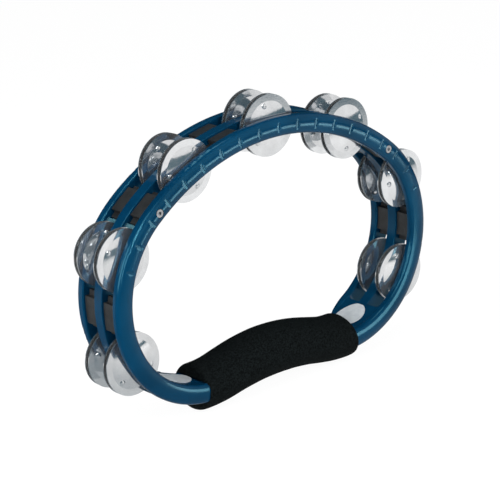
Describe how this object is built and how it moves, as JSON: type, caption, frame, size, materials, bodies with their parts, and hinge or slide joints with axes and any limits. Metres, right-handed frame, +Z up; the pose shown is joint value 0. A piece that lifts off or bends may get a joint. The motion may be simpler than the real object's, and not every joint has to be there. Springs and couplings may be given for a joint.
{
  "type": "tambourine",
  "caption": "Hand-held headless tambourine: an oval plastic hoop of stacked rails with rows of loose paired jingles on pins, black spacers and a padded foam handle.",
  "frame": {"origin": "middle of the base, on the surface that the foam handle's two low ends stand on", "axes": "+Z up from the handle to the top of the hoop, -Y out of the grooved front ring, +X to the right when the front is seen"},
  "size_m": [0.2644, 0.0416, 0.1854],
  "materials": {
    "frame_plastic": "glossy blue moulding",
    "spacer_plastic": "black moulding",
    "jingle_metal": "bright pressed sheet",
    "pin_steel": "plain steel",
    "fastener_steel": "bright plated",
    "foam": "matte closed-cell foam",
    "label": "blank silvery-white"
  },
  "bodies": {
    "frame": {"front_frame": "frame_plastic", "middle_frame": "frame_plastic", "rear_frame": "frame_plastic", "foam_grip": "foam", "label_left": "label", "label_right": "label", "frame_screws": "fastener_steel", "spacer_12_front": "spacer_plastic", "spacer_23_front": "spacer_plastic", "spacer_34_front": "spacer_plastic", "spacer_45_front": "spacer_plastic", "spacer_56_front": "spacer_plastic", "spacer_67_front": "spacer_plastic", "spacer_12_rear": "spacer_plastic", "spacer_23_rear": "spacer_plastic", "spacer_34_rear": "spacer_plastic", "spacer_45_rear": "spacer_plastic", "spacer_56_rear": "spacer_plastic", "spacer_67_rear": "spacer_plastic"},
    "pin_1": {"pin_1": "pin_steel"},
    "jingle_1_front_a": {"jingle_1_front_a": "jingle_metal"},
    "jingle_1_front_b": {"jingle_1_front_b": "jingle_metal"},
    "jingle_1_rear_a": {"jingle_1_rear_a": "jingle_metal"},
    "jingle_1_rear_b": {"jingle_1_rear_b": "jingle_metal"},
    "pin_2": {"pin_2": "pin_steel"},
    "jingle_2_front_a": {"jingle_2_front_a": "jingle_metal"},
    "jingle_2_front_b": {"jingle_2_front_b": "jingle_metal"},
    "jingle_2_rear_a": {"jingle_2_rear_a": "jingle_metal"},
    "jingle_2_rear_b": {"jingle_2_rear_b": "jingle_metal"},
    "pin_3": {"pin_3": "pin_steel"},
    "jingle_3_front_a": {"jingle_3_front_a": "jingle_metal"},
    "jingle_3_front_b": {"jingle_3_front_b": "jingle_metal"},
    "jingle_3_rear_a": {"jingle_3_rear_a": "jingle_metal"},
    "jingle_3_rear_b": {"jingle_3_rear_b": "jingle_metal"},
    "pin_4": {"pin_4": "pin_steel"},
    "jingle_4_front_a": {"jingle_4_front_a": "jingle_metal"},
    "jingle_4_front_b": {"jingle_4_front_b": "jingle_metal"},
    "jingle_4_rear_a": {"jingle_4_rear_a": "jingle_metal"},
    "jingle_4_rear_b": {"jingle_4_rear_b": "jingle_metal"},
    "pin_5": {"pin_5": "pin_steel"},
    "jingle_5_front_a": {"jingle_5_front_a": "jingle_metal"},
    "jingle_5_front_b": {"jingle_5_front_b": "jingle_metal"},
    "jingle_5_rear_a": {"jingle_5_rear_a": "jingle_metal"},
    "jingle_5_rear_b": {"jingle_5_rear_b": "jingle_metal"},
    "pin_6": {"pin_6": "pin_steel"},
    "jingle_6_front_a": {"jingle_6_front_a": "jingle_metal"},
    "jingle_6_front_b": {"jingle_6_front_b": "jingle_metal"},
    "jingle_6_rear_a": {"jingle_6_rear_a": "jingle_metal"},
    "jingle_6_rear_b": {"jingle_6_rear_b": "jingle_metal"},
    "pin_7": {"pin_7": "pin_steel"},
    "jingle_7_front_a": {"jingle_7_front_a": "jingle_metal"},
    "jingle_7_front_b": {"jingle_7_front_b": "jingle_metal"},
    "jingle_7_rear_a": {"jingle_7_rear_a": "jingle_metal"},
    "jingle_7_rear_b": {"jingle_7_rear_b": "jingle_metal"}
  },
  "joints": [
    {"name": "pin_1_turn", "type": "hinge", "parent": "frame", "child": "pin_1", "pos_m": [-0.11058, 0, 0.04546], "axis": [0, -1, 0], "continuous": true},
    {"name": "jingle_1_front_a_slide", "type": "slide", "parent": "pin_1", "child": "jingle_1_front_a", "axis": [0, -1, 0], "range_m": [-0.0011, 0.0006]},
    {"name": "jingle_1_front_b_slide", "type": "slide", "parent": "pin_1", "child": "jingle_1_front_b", "axis": [0, 1, 0], "range_m": [-0.0011, 0.0006]},
    {"name": "jingle_1_rear_a_slide", "type": "slide", "parent": "pin_1", "child": "jingle_1_rear_a", "axis": [0, -1, 0], "range_m": [-0.0011, 0.0006]},
    {"name": "jingle_1_rear_b_slide", "type": "slide", "parent": "pin_1", "child": "jingle_1_rear_b", "axis": [0, 1, 0], "range_m": [-0.0011, 0.0006]},
    {"name": "pin_2_turn", "type": "hinge", "parent": "frame", "child": "pin_2", "pos_m": [-0.11316, 0, 0.10911], "axis": [0, -1, 0], "continuous": true},
    {"name": "jingle_2_front_a_slide", "type": "slide", "parent": "pin_2", "child": "jingle_2_front_a", "axis": [0, -1, 0], "range_m": [-0.0011, 0.0006]},
    {"name": "jingle_2_front_b_slide", "type": "slide", "parent": "pin_2", "child": "jingle_2_front_b", "axis": [0, 1, 0], "range_m": [-0.0011, 0.0006]},
    {"name": "jingle_2_rear_a_slide", "type": "slide", "parent": "pin_2", "child": "jingle_2_rear_a", "axis": [0, -1, 0], "range_m": [-0.0011, 0.0006]},
    {"name": "jingle_2_rear_b_slide", "type": "slide", "parent": "pin_2", "child": "jingle_2_rear_b", "axis": [0, 1, 0], "range_m": [-0.0011, 0.0006]},
    {"name": "pin_3_turn", "type": "hinge", "parent": "frame", "child": "pin_3", "pos_m": [-0.06415, 0, 0.15186], "axis": [0, -1, 0], "continuous": true},
    {"name": "jingle_3_front_a_slide", "type": "slide", "parent": "pin_3", "child": "jingle_3_front_a", "axis": [0, -1, 0], "range_m": [-0.0011, 0.0006]},
    {"name": "jingle_3_front_b_slide", "type": "slide", "parent": "pin_3", "child": "jingle_3_front_b", "axis": [0, 1, 0], "range_m": [-0.0011, 0.0006]},
    {"name": "jingle_3_rear_a_slide", "type": "slide", "parent": "pin_3", "child": "jingle_3_rear_a", "axis": [0, -1, 0], "range_m": [-0.0011, 0.0006]},
    {"name": "jingle_3_rear_b_slide", "type": "slide", "parent": "pin_3", "child": "jingle_3_rear_b", "axis": [0, 1, 0], "range_m": [-0.0011, 0.0006]},
    {"name": "pin_4_turn", "type": "hinge", "parent": "frame", "child": "pin_4", "pos_m": [0, 0, 0.16633], "axis": [0, -1, 0], "continuous": true},
    {"name": "jingle_4_front_a_slide", "type": "slide", "parent": "pin_4", "child": "jingle_4_front_a", "axis": [0, -1, 0], "range_m": [-0.0011, 0.0006]},
    {"name": "jingle_4_front_b_slide", "type": "slide", "parent": "pin_4", "child": "jingle_4_front_b", "axis": [0, 1, 0], "range_m": [-0.0011, 0.0006]},
    {"name": "jingle_4_rear_a_slide", "type": "slide", "parent": "pin_4", "child": "jingle_4_rear_a", "axis": [0, -1, 0], "range_m": [-0.0011, 0.0006]},
    {"name": "jingle_4_rear_b_slide", "type": "slide", "parent": "pin_4", "child": "jingle_4_rear_b", "axis": [0, 1, 0], "range_m": [-0.0011, 0.0006]},
    {"name": "pin_5_turn", "type": "hinge", "parent": "frame", "child": "pin_5", "pos_m": [0.06415, 0, 0.15186], "axis": [0, -1, 0], "continuous": true},
    {"name": "jingle_5_front_a_slide", "type": "slide", "parent": "pin_5", "child": "jingle_5_front_a", "axis": [0, -1, 0], "range_m": [-0.0011, 0.0006]},
    {"name": "jingle_5_front_b_slide", "type": "slide", "parent": "pin_5", "child": "jingle_5_front_b", "axis": [0, 1, 0], "range_m": [-0.0011, 0.0006]},
    {"name": "jingle_5_rear_a_slide", "type": "slide", "parent": "pin_5", "child": "jingle_5_rear_a", "axis": [0, -1, 0], "range_m": [-0.0011, 0.0006]},
    {"name": "jingle_5_rear_b_slide", "type": "slide", "parent": "pin_5", "child": "jingle_5_rear_b", "axis": [0, 1, 0], "range_m": [-0.0011, 0.0006]},
    {"name": "pin_6_turn", "type": "hinge", "parent": "frame", "child": "pin_6", "pos_m": [0.11316, 0, 0.10911], "axis": [0, -1, 0], "continuous": true},
    {"name": "jingle_6_front_a_slide", "type": "slide", "parent": "pin_6", "child": "jingle_6_front_a", "axis": [0, -1, 0], "range_m": [-0.0011, 0.0006]},
    {"name": "jingle_6_front_b_slide", "type": "slide", "parent": "pin_6", "child": "jingle_6_front_b", "axis": [0, 1, 0], "range_m": [-0.0011, 0.0006]},
    {"name": "jingle_6_rear_a_slide", "type": "slide", "parent": "pin_6", "child": "jingle_6_rear_a", "axis": [0, -1, 0], "range_m": [-0.0011, 0.0006]},
    {"name": "jingle_6_rear_b_slide", "type": "slide", "parent": "pin_6", "child": "jingle_6_rear_b", "axis": [0, 1, 0], "range_m": [-0.0011, 0.0006]},
    {"name": "pin_7_turn", "type": "hinge", "parent": "frame", "child": "pin_7", "pos_m": [0.11058, 0, 0.04546], "axis": [0, -1, 0], "continuous": true},
    {"name": "jingle_7_front_a_slide", "type": "slide", "parent": "pin_7", "child": "jingle_7_front_a", "axis": [0, -1, 0], "range_m": [-0.0011, 0.0006]},
    {"name": "jingle_7_front_b_slide", "type": "slide", "parent": "pin_7", "child": "jingle_7_front_b", "axis": [0, 1, 0], "range_m": [-0.0011, 0.0006]},
    {"name": "jingle_7_rear_a_slide", "type": "slide", "parent": "pin_7", "child": "jingle_7_rear_a", "axis": [0, -1, 0], "range_m": [-0.0011, 0.0006]},
    {"name": "jingle_7_rear_b_slide", "type": "slide", "parent": "pin_7", "child": "jingle_7_rear_b", "axis": [0, 1, 0], "range_m": [-0.0011, 0.0006]}
  ]
}
